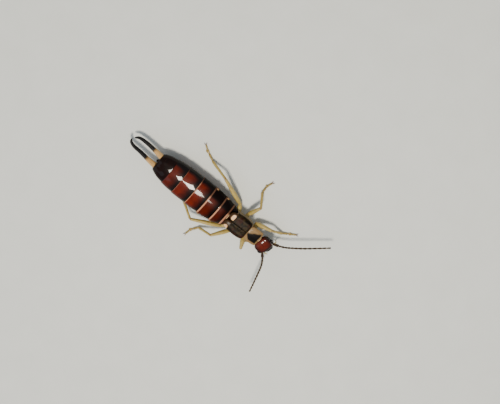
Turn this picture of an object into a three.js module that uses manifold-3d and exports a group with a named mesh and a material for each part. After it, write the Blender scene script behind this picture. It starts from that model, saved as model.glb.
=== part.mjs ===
// A life-size still model of an adult female earwig, standing with its forceps shut and its head turned a
// little to its right. Millimetres, +Z up, the floor at z = 0. The head faces -Y and its left side is +X.
import * as THREE from 'three';
import { mergeVertices } from 'three/addons/utils/BufferGeometryUtils.js';
import Module from 'manifold-3d';

// Space left between neighbouring pieces.
const gap = 0.25;

// Stations along the body, from the head to the tail.
const station = {
  pronotumFront: -2.42,
  pronotumRear: -0.86,
  tegmenFront: -0.92,
  thoraxRear: 1.0,
  tegmenRear: 1.0,
  squamaRear: 1.64,
  tergites: [1.25, 1.86, 2.97, 4.39, 5.91, 7.58, 8.95],
  analRear: 10.6,
};

// The abdomen is fullest at fullAt and narrows to each end by a power curve.
const abdomen = {
  fullAt: 5.6,
  halfWidth: 1.74,
  rise: 0.95,
  drop: 0.88,
  middle: 1.32,
  tailSink: 0.17,
  frontLoss: 0.25,
  frontReach: 3.9,
  frontPower: 2.8,
  rearLoss: 0.44,
  rearReach: 5.03,
  rearPower: 3.1,
  squareness: 0.86,
  rimStep: 0.07,
  waistHalfWidths: [0.98, 1.1, 1.18],
  waistRise: 0.06,
  waistDrop: 0.5,
  waistSink: 0.12,
  tubercle: 0.17,
  sides: 28,
};

const thorax = { halfWidth: 0.95, rise: 0.32, drop: 0.42, middle: 1.05, squareness: 0.75 };
const tegmen = { halfWidth: 1.22, top: 2.08, lowerEdge: 1.28, corner: 0.72, rearNarrowing: 0.1 };
const squama = { halfWidth: 0.98, top: 2.02, lowerEdge: 1.5 };
const pronotum = { halfWidth: 0.84, thickness: 0.42, top: 1.88, bodyHalfWidth: 0.62, bodyBottom: 0.68 };

const head = {
  halfWidth: 0.93,
  length: 1.4,
  rise: 0.5,
  drop: 0.46,
  middle: new THREE.Vector3(-0.14, -3.12, 1.36),
  turn: -10,
  nod: 12,
  neckHalfWidth: 0.42,
};
const eye = { radius: 0.26, out: 0.82, forward: 0.16, up: 0.08 };
const antenna = { segments: 14, rootRadius: 0.27, tipRadius: 0.2, waist: 0.84 };
const forceps = { rootHalfWidth: 0.36, midRadius: 0.27, tipRadius: 0.13, teeth: 4, toothRadius: 0.12 };
const leg = { coxa: 0.3, femur: 0.3, knee: 0.25, tibia: 0.25, tarsus: 0.25, toe: 0.24, claw: 0.1, sides: 8 };

// The long palps beside the mouth, in the head's own frame: the left one reaches out sideways.
const palp = {
  radius: 0.25,
  tipRadius: 0.15,
  left: [[0.5, -0.42, -0.5], [0.74, -0.7, -0.54], [1.0, -0.84, -0.62]],
  right: [[-0.5, -0.4, -0.5], [-0.72, -0.9, -0.66], [-0.78, -1.35, -0.74]],
};

// Where each leg's joints stand: hip, root of the femur, knee, ankle, end of the second tarsal segment, toe.
const stance = {
  foreleg_left: [[0.5, -1.4, 0.8], [1.04, -1.14, 0.8], [1.52, -2.81, 1.25], [1.58, -3.92, 0.34],
    [2.03, -4.7, 0.2], [2.35, -5.17, 0.2]],
  foreleg_right: [[-0.5, -1.4, 0.8], [-0.98, -1.0, 0.86], [-1.97, -1.56, 1.4], [-1.52, -1.5, 0.34],
    [-1.2, -2.1, 0.2], [-0.98, -2.5, 0.2]],
  midleg_left: [[0.6, 0.0, 0.78], [1.36, 0.0, 0.78], [2.82, -0.41, 1.5], [3.8, 0.3, 0.34],
    [4.6, 0.34, 0.2], [5.13, 0.12, 0.2]],
  midleg_right: [[-0.6, 0.0, 0.78], [-1.34, 0.38, 0.78], [-2.74, 1.66, 1.5], [-3.33, 2.87, 0.34],
    [-4.2, 3.4, 0.2], [-4.8, 3.5, 0.2]],
  hindleg_left: [[0.6, 0.8, 0.75], [1.62, 1.38, 0.6], [3.02, 4.26, 1.55], [3.22, 6.17, 0.36],
    [3.7, 7.25, 0.2], [4.08, 7.68, 0.2]],
  hindleg_right: [[-0.6, 0.8, 0.75], [-1.66, 1.4, 0.6], [-2.7, 4.3, 1.45], [-1.7, 6.3, 0.34],
    [-1.42, 7.3, 0.2], [-1.3, 7.9, 0.2]],
};

// The line of each antenna from its socket to its tip.
const antennaLine = {
  left: [[0.4, -3.55, 1.3], [0.72, -4.1, 1.42], [1.16, -4.9, 1.6], [2.3, -6.4, 1.72], [4.02, -8.41, 1.6]],
  right: [[-0.82, -3.4, 1.3], [-1.3, -3.86, 1.42], [-2.0, -4.27, 1.6], [-3.38, -4.67, 1.75],
    [-4.98, -5.1, 1.7]],
};

// The line of each forceps arm: the tips hook towards each other, and the pair leans to the animal's left.
const forcepsLine = {
  left: [[0.56, 10.3, 1.14], [0.72, 11.2, 1.12], [0.8, 12.4, 1.04], [0.74, 13.3, 0.98], [0.42, 13.72, 0.96]],
  right: [[-0.56, 10.3, 1.14], [-0.5, 11.2, 1.12], [-0.36, 12.4, 1.04], [-0.3, 13.35, 0.98],
    [0.02, 13.9, 0.96]],
};

const colour = {
  head: 0x5a1a08,
  eye: 0x140a06,
  antenna: 0x3a2412,
  pronotum: 0x2a1008,
  thorax: 0x4a2a14,
  tegmen: 0x4a3b22,
  squama: 0xdcb084,
  abdomen: 0x6a1e0e,
  anal: 0x2c0c06,
  forceps: 0x2a160c,
  leg: 0xc8b070,
};

const wasm = await Module();
wasm.setup();

function toSolid(geometry) {
  geometry.deleteAttribute('normal');
  geometry.deleteAttribute('uv');
  const merged = mergeVertices(geometry, 1e-5);
  const mesh = new wasm.Mesh({
    numProp: 3,
    vertProperties: new Float32Array(merged.attributes.position.array),
    triVerts: new Uint32Array(merged.index.array),
  });
  return new wasm.Manifold(mesh);
}

// The largest closed surface of a solid, as a geometry.
function toGeometry(solid) {
  const bodies = solid.decompose().sort((a, b) => b.volume() - a.volume());
  const mesh = bodies[0].getMesh();
  const geometry = new THREE.BufferGeometry();
  geometry.setAttribute('position', new THREE.BufferAttribute(new Float32Array(mesh.vertProperties), 3));
  geometry.setIndex(new THREE.BufferAttribute(new Uint32Array(mesh.triVerts), 1));
  geometry.computeVertexNormals();
  return geometry;
}

function join(geometries) {
  return geometries.map(toSolid).reduce((whole, piece) => whole.add(piece));
}

function vector(xyz) {
  return new THREE.Vector3(xyz[0], xyz[1], xyz[2]);
}

// A sine or cosine raised to a power below 1 squares a round section up.
function squared(value, power) {
  return Math.sign(value) * Math.abs(value) ** power;
}

// A closed body lofted from front to back through oval rings that all face along Y.
function loft(rings, sides) {
  const geometry = new THREE.CylinderGeometry(1, 1, 1, sides, rings.length - 1);
  const corners = geometry.attributes.position;
  for (let i = 0; i < corners.count; i += 1) {
    const ring = rings[Math.round((0.5 - corners.getY(i)) * (rings.length - 1))];
    const rise = squared(corners.getZ(i), ring.squareness);
    corners.setXYZ(
      i,
      (ring.x ?? 0) - squared(corners.getX(i), ring.squareness) * ring.halfWidth,
      ring.y,
      ring.middle + rise * (rise > 0 ? ring.rise : ring.drop),
    );
  }
  return geometry;
}

// The same rings, larger all round by a margin, to cut neighbours clear of the body they make.
function grown(rings, margin) {
  const wider = rings.map((ring) => ({
    ...ring,
    halfWidth: ring.halfWidth + margin,
    rise: ring.rise + margin,
    drop: ring.drop + margin,
  }));
  wider[0].y -= margin;
  wider[wider.length - 1].y += margin;
  return wider;
}

// A closed round body along a curve. radiusAt(t) gives its radius from t = 0 at the root to t = 1 at the tip,
// and depth makes each section flatter or deeper than it is wide.
function limb(curve, radiusAt, sides, steps, depth = 1) {
  const geometry = new THREE.CylinderGeometry(1, 1, 1, sides, steps);
  const corners = geometry.attributes.position;
  const point = new THREE.Vector3();
  for (let i = 0; i < corners.count; i += 1) {
    const t = THREE.MathUtils.clamp(0.5 - corners.getY(i), 0, 1);
    const tangent = curve.getTangentAt(t);
    const side = new THREE.Vector3(0, 0, 1).cross(tangent).normalize();
    const up = tangent.clone().cross(side);
    const radius = radiusAt(t);
    point.copy(curve.getPointAt(t));
    point.addScaledVector(side, corners.getX(i) * radius);
    point.addScaledVector(up, corners.getZ(i) * radius * depth);
    corners.setXYZ(i, point.x, point.y, point.z);
  }
  return geometry;
}

function straight(from, to) {
  return new THREE.LineCurve3(vector(from), vector(to));
}

function ellipsoid(centre, halfX, halfY, halfZ, across = 14, around = 8) {
  return new THREE.SphereGeometry(1, across, around).scale(halfX, halfY, halfZ).translate(...centre);
}

function box(low, high) {
  const size = [0, 1, 2].map((k) => high[k] - low[k]);
  const centre = [0, 1, 2].map((k) => (high[k] + low[k]) / 2);
  return new THREE.BoxGeometry(...size).translate(...centre);
}

const floorBlock = toSolid(box([-20, -20, -2], [20, 20, 0]));

const earwig = new THREE.Group();

function addNode(name, solid, tint, roughness = 0.35) {
  const material = new THREE.MeshStandardMaterial({ color: tint, roughness, metalness: 0 });
  const mesh = new THREE.Mesh(toGeometry(solid), material);
  mesh.name = name;
  earwig.add(mesh);
  return mesh;
}

// How full the abdomen is at a station, 1 where it is widest.
function fullness(y) {
  const ahead = Math.max(abdomen.fullAt - y, 0) / abdomen.frontReach;
  const behind = Math.max(y - abdomen.fullAt, 0) / abdomen.rearReach;
  return 1 - abdomen.frontLoss * ahead ** abdomen.frontPower - abdomen.rearLoss * behind ** abdomen.rearPower;
}

// One ring of the abdomen; step draws it in under the rim of the segment before it.
function abdomenRing(y, step) {
  const full = fullness(y);
  const tail = Math.max(y - abdomen.fullAt, 0) / abdomen.rearReach;
  return {
    y,
    halfWidth: abdomen.halfWidth * full - step,
    rise: abdomen.rise * full ** 0.7 - step,
    drop: abdomen.drop * full ** 0.7 - step * 0.6,
    middle: abdomen.middle - abdomen.tailSink * tail,
    squareness: abdomen.squareness,
  };
}

// A body segment swells from its tucked-in front to the rim at its rear.
function segmentRings(front, rear) {
  const swell = [[0.03, 1], [0.22, 0.45], [0.55, 0.12], [0.88, 0], [1, 0.12]];
  const { lerp } = THREE.MathUtils;
  return swell.map(([part, tuck]) => abdomenRing(lerp(front, rear, part), abdomen.rimStep * tuck));
}

function abdomenRings() {
  const [first, second] = station.tergites;
  const waist = [first, (first + second) / 2, second - 0.02].map((y, k) => ({
    ...abdomenRing(y, 0),
    halfWidth: abdomen.waistHalfWidths[k],
    rise: abdomen.waistRise + 0.02 * k,
    drop: abdomen.waistDrop + 0.06 * k,
    middle: abdomen.middle - abdomen.waistSink,
  }));
  const rings = [...waist];
  const last = station.tergites.length - 2;
  for (let k = 1; k <= last; k += 1) {
    rings.push(...segmentRings(station.tergites[k], station.tergites[k + 1] - (k === last ? gap / 2 : 0)));
  }
  return rings;
}

function makeAbdomen() {
  const pieces = [loft(abdomenRings(), abdomen.sides)];
  for (const rim of station.tergites.slice(2, 4)) {
    for (const side of [-1, 1]) {
      const out = abdomen.halfWidth * fullness(rim) - 0.04;
      const place = [side * out, rim - 0.22, abdomen.middle + 0.22];
      pieces.push(ellipsoid(place, abdomen.tubercle, abdomen.tubercle * 1.3, abdomen.tubercle, 8, 6));
    }
  }
  addNode('abdomen', join(pieces), colour.abdomen);
}

function analRings() {
  const front = station.tergites[6] + gap / 2;
  return [0, 0.15, 0.4, 0.7, 0.9, 1].map((part, k) => abdomenRing(
    THREE.MathUtils.lerp(front, station.analRear, part),
    abdomen.rimStep * [1, 0.4, 0, 0, 0.3, 1.4][k],
  ));
}

function makeAnalSegment() {
  const middle = abdomen.middle - abdomen.tailSink;
  const pygidium = ellipsoid([0.04, station.analRear, middle - 0.05], 0.17, 0.2, 0.2, 8, 6);
  addNode('anal_segment', join([loft(analRings(), abdomen.sides), pygidium]), colour.anal);
}

function makeForceps() {
  const clearOfTail = toSolid(loft(grown(analRings(), gap), abdomen.sides));
  for (const [side, sign] of [['left', 1], ['right', -1]]) {
    const line = new THREE.CatmullRomCurve3(forcepsLine[side].map(vector));
    const radiusAt = (t) => {
      const taper = THREE.MathUtils.smoothstep(t, 0.45, 1);
      const root = 1 - THREE.MathUtils.smoothstep(t, 0.1, 0.4);
      const blade = THREE.MathUtils.lerp(forceps.midRadius, forceps.tipRadius, taper);
      return blade + (forceps.rootHalfWidth - forceps.midRadius) * root;
    };
    const pieces = [limb(line, radiusAt, 12, 18, 0.95)];
    for (let k = 0; k < forceps.teeth; k += 1) {
      const t = 0.24 + 0.07 * k;
      const place = line.getPointAt(t);
      const inward = place.x - sign * (radiusAt(t) - 0.02);
      const size = forceps.toothRadius * (1 - 0.12 * k);
      pieces.push(ellipsoid([inward, place.y, place.z], size, size, size, 6, 4));
    }
    addNode(`forceps_${side}`, join(pieces).subtract(clearOfTail), colour.forceps);
  }
}

function thoraxRings() {
  const front = station.pronotumRear + gap;
  return [0, 0.1, 0.3, 0.6, 0.9, 1].map((part, k) => ({
    y: THREE.MathUtils.lerp(front, station.thoraxRear, part),
    halfWidth: thorax.halfWidth * [0.78, 0.9, 0.97, 1, 1, 0.96][k],
    rise: thorax.rise,
    drop: thorax.drop * [0.85, 0.95, 1, 1, 1, 0.95][k],
    middle: thorax.middle,
    squareness: thorax.squareness,
  }));
}

function makeThorax() {
  addNode('thorax', toSolid(loft(thoraxRings(), 24)), colour.thorax);
}

// The wing cases: one arched shield over the thorax, cut clear of it and parted along the middle.
function tegminaShield() {
  const rings = [0, 0.08, 0.22, 0.5, 0.85, 1].map((part, k) => ({
    y: THREE.MathUtils.lerp(station.tegmenFront + gap, station.tegmenRear, part),
    halfWidth: tegmen.halfWidth * ([0.62, 0.82, 0.95, 1][k] ?? 1 - tegmen.rearNarrowing * part),
    rise: (tegmen.top - tegmen.lowerEdge) * [0.78, 0.9, 0.98, 1, 1, 0.97][k],
    drop: 0.3,
    middle: tegmen.lowerEdge,
    squareness: tegmen.corner,
  }));
  const hollow = toSolid(loft(grown(thoraxRings(), gap), 24));
  const below = toSolid(box([-3, -3, 0], [3, 3, tegmen.lowerEdge]));
  return toSolid(loft(rings, 24)).subtract(hollow).subtract(below);
}

function makeTegmina() {
  const shield = tegminaShield();
  for (const [side, sign] of [['left', 1], ['right', -1]]) {
    const inner = sign * gap / 2;
    const half = toSolid(box([Math.min(inner, sign * 3), -3, 0], [Math.max(inner, sign * 3), 3, 3]));
    addNode(`tegmen_${side}`, shield.intersect(half), colour.tegmen, 0.5);
  }
}

// The tips of the folded hindwings, showing behind the wing cases.
function makeSquamae() {
  for (const [side, sign] of [['left', 1], ['right', -1]]) {
    const inner = gap / 2;
    const middleX = sign * (inner + squama.halfWidth) / 2;
    const rings = [0, 0.1, 0.4, 0.75, 0.93, 1].map((part, k) => ({
      x: middleX - sign * 0.03 * k,
      y: THREE.MathUtils.lerp(station.tegmenRear + gap, station.squamaRear, part),
      halfWidth: (squama.halfWidth - inner) / 2 * [0.9, 1, 1, 0.86, 0.6, 0.3][k],
      rise: 0.5 * (squama.top - squama.lowerEdge) * [0.9, 1, 1, 0.96, 0.8, 0.5][k],
      drop: 0.5 * (squama.top - squama.lowerEdge) * [0.9, 1, 1, 0.96, 0.8, 0.5][k],
      middle: (squama.top + squama.lowerEdge) / 2,
      squareness: 0.7,
    }));
    addNode(`squama_${side}`, toSolid(loft(rings, 16)), colour.squama, 0.5);
  }
}

function prothoraxRings() {
  return [0, 0.12, 0.5, 0.88, 1].map((part, k) => ({
    y: THREE.MathUtils.lerp(station.pronotumFront + 0.1, station.pronotumRear - 0.06, part),
    halfWidth: pronotum.bodyHalfWidth * [0.8, 0.95, 1, 1, 0.92][k],
    rise: 0.5,
    drop: (1.2 - pronotum.bodyBottom) * [0.8, 0.95, 1, 1, 0.9][k],
    middle: 1.2,
    squareness: 0.75,
  }));
}

function shieldRings() {
  return [0, 0.06, 0.18, 0.5, 0.8, 0.94, 1].map((part, k) => ({
    y: THREE.MathUtils.lerp(station.pronotumFront, station.pronotumRear, part),
    halfWidth: pronotum.halfWidth * [0.8, 0.93, 0.98, 1, 1, 0.93, 0.76][k],
    rise: pronotum.thickness / 2 * [0.6, 0.9, 1, 1, 0.92, 0.85, 0.6][k],
    drop: pronotum.thickness / 2 * [0.6, 0.9, 1, 1, 1, 0.9, 0.6][k],
    middle: pronotum.top - pronotum.thickness / 2,
    squareness: 0.62,
  }));
}

function makePronotum() {
  addNode('pronotum', join([loft(shieldRings(), 28), loft(prothoraxRings(), 20)]), colour.pronotum);
}

// Sets a head piece, made round the middle of the head and facing -Y, to the head's place, turn and nod.
function placeOnHead(solid) {
  const { degToRad } = THREE.MathUtils;
  const turn = new THREE.Euler(degToRad(head.nod), 0, degToRad(head.turn), 'ZYX');
  const matrix = new THREE.Matrix4().makeRotationFromEuler(turn).setPosition(head.middle);
  return solid.transform(matrix.elements);
}

function headRings() {
  const outline = [0, 0.06, 0.2, 0.45, 0.7, 0.88, 0.97, 1];
  return outline.map((part, k) => ({
    y: THREE.MathUtils.lerp(-head.length / 2, head.length / 2, part),
    halfWidth: head.halfWidth * [0.5, 0.68, 0.86, 0.98, 1, 0.86, 0.62, 0.42][k],
    rise: head.rise * [0.45, 0.62, 0.84, 1, 1, 0.9, 0.68, 0.45][k],
    drop: head.drop * [0.5, 0.7, 0.9, 1, 1, 0.95, 0.75, 0.5][k],
    middle: [-0.1, -0.07, -0.03, 0, 0, 0, 0, 0][k],
    squareness: 0.85,
  }));
}

// The skull, upper lip, jaws and, where asked, the eyes, all larger by a margin.
function headForms(margin, withEyes) {
  const front = -head.length / 2;
  const skull = margin > 0 ? grown(headRings(), margin) : headRings();
  const lip = ellipsoid([0, front - 0.02, -0.12], 0.32 + margin, 0.26 + margin, 0.16 + margin, 10, 6);
  const forms = [loft(skull, 26), lip];
  for (const sign of [-1, 1]) {
    forms.push(ellipsoid([sign * 0.2, front - 0.06, -0.3], 0.2 + margin, 0.32 + margin, 0.14 + margin, 8, 6));
    if (withEyes) forms.push(eyeBall(sign, margin));
  }
  return forms;
}

function eyeBall(sign, margin) {
  const round = eye.radius + margin;
  return ellipsoid([sign * eye.out, -eye.forward, eye.up], round, round + 0.06, round, 12, 8);
}

function makeHead() {
  const neck = loft([head.length / 2 - 0.3, head.length / 2 + 0.3].map((y) => ({
    y, halfWidth: head.neckHalfWidth, rise: 0.26, drop: 0.26, middle: -0.02, squareness: 0.9,
  })), 12);
  let whole = join([...headForms(0, false), neck]);
  for (const sign of [-1, 1]) {
    whole = whole.subtract(toSolid(eyeBall(sign, gap * 0.7)));
  }
  const clearOfProthorax = toSolid(loft(grown(prothoraxRings(), gap), 20));
  const clearOfShield = toSolid(loft(grown(shieldRings(), gap), 28));
  addNode('head', placeOnHead(whole).subtract(clearOfProthorax).subtract(clearOfShield), colour.head);
  for (const [side, sign] of [['left', 1], ['right', -1]]) {
    addNode(`eye_${side}`, placeOnHead(toSolid(eyeBall(sign, 0))), colour.eye, 0.25);
  }
}

function makeAntennae() {
  const clearOfHead = placeOnHead(join(headForms(gap, true)));
  for (const side of ['left', 'right']) {
    const line = new THREE.CatmullRomCurve3(antennaLine[side].map(vector));
    const radiusAt = (t) => {
      const bead = Math.abs(Math.sin(Math.PI * t * antenna.segments)) ** 0.5;
      const full = THREE.MathUtils.lerp(antenna.rootRadius, antenna.tipRadius, t);
      return full * THREE.MathUtils.lerp(antenna.waist, 1, bead);
    };
    const whole = toSolid(limb(line, radiusAt, 7, antenna.segments * 3));
    addNode(`antenna_${side}`, whole.subtract(clearOfHead), colour.antenna, 0.6);
  }
}

function makePalps() {
  const clearOfHead = placeOnHead(join(headForms(gap, false)));
  for (const side of ['left', 'right']) {
    const line = new THREE.CatmullRomCurve3(palp[side].map(vector));
    const radiusAt = (t) => THREE.MathUtils.lerp(palp.radius, palp.tipRadius, t);
    const whole = placeOnHead(toSolid(limb(line, radiusAt, 8, 8)));
    addNode(`palp_${side}`, whole.subtract(clearOfHead), colour.leg, 0.5);
  }
}

// A round or spindle-shaped length of leg between two joints.
function shank(from, to, rootRadius, fullRadius, tipRadius, steps = 2) {
  const radiusAt = (t) => THREE.MathUtils.lerp(rootRadius, tipRadius, t)
    + (fullRadius - Math.max(rootRadius, tipRadius)) * Math.sin(Math.PI * t);
  return limb(straight(from, to), radiusAt, leg.sides, steps);
}

function ball(centre, radius) {
  return ellipsoid(centre, radius, radius, radius, leg.sides, 5);
}

function between(from, to, part) {
  return [0, 1, 2].map((k) => THREE.MathUtils.lerp(from[k], to[k], part));
}

function makeLeg(name, joints, clearance) {
  const [hip, root, knee, ankle, pad, toe] = joints;
  const firstTarsal = between(ankle, pad, 0.78);
  const pieces = [
    shank(hip, root, leg.coxa, leg.coxa, leg.coxa * 0.85),
    ball(root, leg.coxa * 0.88),
    shank(root, knee, leg.coxa * 0.8, leg.femur, leg.knee, 5),
    ball(knee, leg.knee),
    shank(knee, ankle, leg.knee * 0.96, leg.tibia, leg.tibia),
    ball(ankle, leg.tibia),
    shank(ankle, firstTarsal, leg.tarsus, leg.tarsus, leg.tarsus * 0.9),
    shank(between(ankle, pad, 0.7), pad, leg.tarsus * 0.8, leg.tarsus * 1.1, leg.tarsus * 0.9),
    shank(between(ankle, pad, 0.94), toe, leg.toe, leg.toe, leg.toe),
  ];
  const along = vector(toe).sub(vector(pad)).setZ(0).normalize();
  const across = new THREE.Vector3(-along.y, along.x, 0);
  for (const sign of [-1, 1]) {
    const clawRoot = vector(toe).addScaledVector(across, sign * 0.08).addScaledVector(along, -0.1);
    const bend = clawRoot.clone().addScaledVector(along, 0.25).addScaledVector(across, sign * 0.1).setZ(0.2);
    const tip = bend.clone().addScaledVector(along, 0.12).addScaledVector(across, sign * 0.04).setZ(0.08);
    const claw = new THREE.CatmullRomCurve3([clawRoot, bend, tip]);
    pieces.push(limb(claw, (t) => THREE.MathUtils.lerp(leg.claw, 0.05, t), 5, 3));
  }
  const whole = join(pieces).subtract(floorBlock).subtract(clearance);
  addNode(name, whole, colour.leg, 0.45);
}

function makeLegs() {
  const clearOfProthorax = toSolid(loft(grown(prothoraxRings(), gap), 20));
  const clearOfTrunk = loft(grown(thoraxRings(), gap), 24);
  const clearOfThorax = join([clearOfTrunk, loft(grown(abdomenRings(), gap), abdomen.sides)]);
  for (const [name, joints] of Object.entries(stance)) {
    makeLeg(name, joints, name.startsWith('foreleg') ? clearOfProthorax : clearOfThorax);
  }
}

makeHead();
makeAntennae();
makePalps();
makePronotum();
makeThorax();
makeTegmina();
makeSquamae();
makeAbdomen();
makeAnalSegment();
makeForceps();
makeLegs();

// The origin is under the middle of the whole animal, on the floor.
const extent = new THREE.Box3().setFromObject(earwig);
const middle = extent.getCenter(new THREE.Vector3());
earwig.position.set(-middle.x, -middle.y, -extent.min.z);

export default earwig;
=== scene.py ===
# Adult female earwig, life size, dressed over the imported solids. Values in the dictionaries are millimetres
# unless a note says otherwise. The head faces -Y, the animal's left is +X and the floor is z = 0.
import math
import random

import bmesh
import bpy
from mathutils import Matrix, Vector


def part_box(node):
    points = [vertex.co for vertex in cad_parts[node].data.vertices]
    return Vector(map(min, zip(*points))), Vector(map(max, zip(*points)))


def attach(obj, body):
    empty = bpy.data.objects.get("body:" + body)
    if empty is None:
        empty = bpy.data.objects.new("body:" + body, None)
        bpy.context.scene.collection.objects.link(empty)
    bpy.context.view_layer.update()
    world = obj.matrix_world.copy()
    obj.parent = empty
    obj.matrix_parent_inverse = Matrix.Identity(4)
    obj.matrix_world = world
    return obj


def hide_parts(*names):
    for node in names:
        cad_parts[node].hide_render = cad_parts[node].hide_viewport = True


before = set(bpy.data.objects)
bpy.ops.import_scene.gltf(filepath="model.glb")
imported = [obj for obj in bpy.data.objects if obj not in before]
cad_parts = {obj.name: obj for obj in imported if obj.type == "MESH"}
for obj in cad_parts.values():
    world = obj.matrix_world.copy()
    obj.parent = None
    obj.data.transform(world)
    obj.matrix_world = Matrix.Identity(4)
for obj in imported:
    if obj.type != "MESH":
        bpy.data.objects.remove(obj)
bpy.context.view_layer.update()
mm = 0.001
print("stage: frame loaded")

# The body's own middle line and zero station, read off the solid abdomen, which is the same on both sides.
abdomenLow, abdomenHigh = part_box("abdomen")
abdomenFront = 1.25
bodyZero = Vector(((abdomenLow.x + abdomenHigh.x) / 2, abdomenLow.y - abdomenFront * mm, 0))


def at(x, y, z):  # a place in body millimetres, in metres in the frame
    return bodyZero + Vector((x, y, z)) * mm


def clearSelection():
    if bpy.context.object and bpy.context.object.mode == "EDIT":
        bpy.ops.object.mode_set(mode="OBJECT")
    bpy.ops.object.select_all(action="DESELECT")


def makeActive(piece):
    clearSelection()
    piece.select_set(True)
    bpy.context.view_layer.objects.active = piece


def applyModifier(piece, kind, **settings):
    makeActive(piece)
    modifier = piece.modifiers.new(kind.title(), kind)
    for name, value in settings.items():
        setattr(modifier, name, value)
    bpy.ops.object.modifier_apply(modifier=modifier.name)


def subdivide(piece, levels=2):
    applyModifier(piece, "SUBSURF", levels=levels, render_levels=levels)


def smoothFaces(piece):
    makeActive(piece)
    bpy.ops.object.shade_smooth()


def selectWhere(piece, test):  # in edit mode, selects the vertices whose place passes the test
    cage = bmesh.from_edit_mesh(piece.data)
    for vertex in cage.verts:
        vertex.select_set(test(vertex.co))
    cage.select_flush_mode()
    bmesh.update_edit_mesh(piece.data)


def faceOutwards(piece):  # turns the faces of a closed piece outwards
    makeActive(piece)
    bpy.ops.object.mode_set(mode="EDIT")
    bpy.ops.mesh.select_all(action="SELECT")
    bpy.ops.mesh.normals_make_consistent(inside=False)
    bpy.ops.object.mode_set(mode="OBJECT")


def joinPieces(name, pieces):
    clearSelection()
    for piece in pieces:
        piece.select_set(True)
    bpy.context.view_layer.objects.active = pieces[0]
    if len(pieces) > 1:
        bpy.ops.object.join()
    pieces[0].name = name
    pieces[0].data.name = name
    return pieces[0]


def setAttribute(piece, name, rule):  # a number at every vertex, by a rule of its place
    values = [rule(vertex.co) for vertex in piece.data.vertices]
    layer = piece.data.attributes.get(name) or piece.data.attributes.new(name, "FLOAT", "POINT")
    layer.data.foreach_set("value", values)


# Draws a ring out along Y. Each ring is (y, half width, half height, middle z, middle x), in millimetres from
# zero. keep leaves only part of the ring, as an open sheet. corner pushes the ring's diagonals out.
def drawOut(name, rings, sides=16, keep=None, corner=1.0, zero=None):
    zero = bodyZero if zero is None else zero
    clearSelection()
    fill = "NGON" if keep is None else "NOTHING"
    bpy.ops.mesh.primitive_circle_add(vertices=sides, radius=1, fill_type=fill, rotation=(math.pi / 2, 0, 0))
    piece = bpy.context.object
    piece.name = name
    bpy.ops.object.transform_apply(location=False, rotation=True, scale=False)
    bpy.ops.object.mode_set(mode="EDIT")
    if keep is not None:
        selectWhere(piece, lambda place: not keep(place))
        bpy.ops.mesh.delete(type="VERT")
    if corner != 1.0:
        selectWhere(piece, lambda place: min(abs(place.x), abs(place.z)) > 0.5)
        bpy.ops.transform.resize(value=(corner, 1, corner), center_override=(0, 0, 0))
    bpy.ops.mesh.select_all(action="SELECT")
    places = [zero + Vector((ring[4] if len(ring) > 4 else 0, ring[0], ring[3])) * mm for ring in rings]
    bpy.ops.transform.resize(value=(rings[0][1] * mm, 1, rings[0][2] * mm), center_override=(0, 0, 0))
    bpy.ops.transform.translate(value=places[0])
    for before, ring, start, end in zip(rings, rings[1:], places, places[1:]):
        bpy.ops.mesh.extrude_region_move(TRANSFORM_OT_translate={"value": end - start})
        bpy.ops.transform.resize(value=(ring[1] / before[1], 1, ring[2] / before[2]), center_override=end)
    bpy.ops.mesh.select_all(action="SELECT")
    bpy.ops.mesh.normals_make_consistent(inside=False)
    if keep is not None and not pointsAway(piece, zero + Vector((0, 0, rings[0][3])) * mm):
        bpy.ops.mesh.flip_normals()
    bpy.ops.object.mode_set(mode="OBJECT")
    return piece


def pointsAway(piece, middle):  # whether most of an open sheet faces away from a lengthwise line
    cage = bmesh.from_edit_mesh(piece.data)
    total = 0
    for face in cage.faces:
        away = face.calc_center_median() - middle
        away.y = 0
        total += face.normal.dot(away)
    return total > 0


# Materials. One function turns sRGB to linear and one adds a node with its settings and links.
def linear(hexText):
    channels = [int(hexText[i:i + 2], 16) / 255 for i in (1, 3, 5)]
    return [c / 12.92 if c <= 0.04045 else ((c + 0.055) / 1.055) ** 2.4 for c in channels] + [1.0]


def addNode(tree, kind, values=None, output=0):
    # values holds the node's settings, and a number, sRGB hex colour or other node's output for each input.
    node = tree.nodes.new("ShaderNode" + kind)
    for name, value in (values or {}).items():
        if isinstance(name, str) and hasattr(node, name):
            setattr(node, name, value)
        elif isinstance(value, bpy.types.NodeSocket):
            tree.links.new(value, node.inputs[name])
        else:
            node.inputs[name].default_value = linear(value) if isinstance(value, str) else value
    return node.outputs[output] if node.outputs else node


# The settings that many nodes share.
mixed = {"data_type": "RGBA"}
eased = {"interpolation_type": "SMOOTHSTEP"}
times = {"operation": "MULTIPLY"}
plus = {"operation": "ADD"}
minus = {"operation": "SUBTRACT"}
scaledPlus = {"operation": "MULTIPLY_ADD"}
largest = {"operation": "MAXIMUM"}


def newMaterial(name):
    material = bpy.data.materials.new(name)
    material.use_nodes = True
    material.node_tree.nodes.clear()
    return material, material.node_tree


def marks(tree, sizeMm, detail=None):  # marks about sizeMm across: clouds with a detail, round cells without
    place = addNode(tree, "TexCoord", None, "Object")
    place = addNode(tree, "Mapping", {"Scale": [1 / (sizeMm * mm)] * 3, "Vector": place})
    if detail is None:
        return addNode(tree, "TexVoronoi", {"Scale": 1.0, "Vector": place}, "Distance")
    return addNode(tree, "TexNoise", {"Scale": 1.0, "Detail": detail, "Vector": place}, "Fac")


def readings(tree, *names):  # the numbers that a piece keeps at its vertices
    return [addNode(tree, "Attribute", {"attribute_name": name}, "Fac") for name in names]


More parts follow.
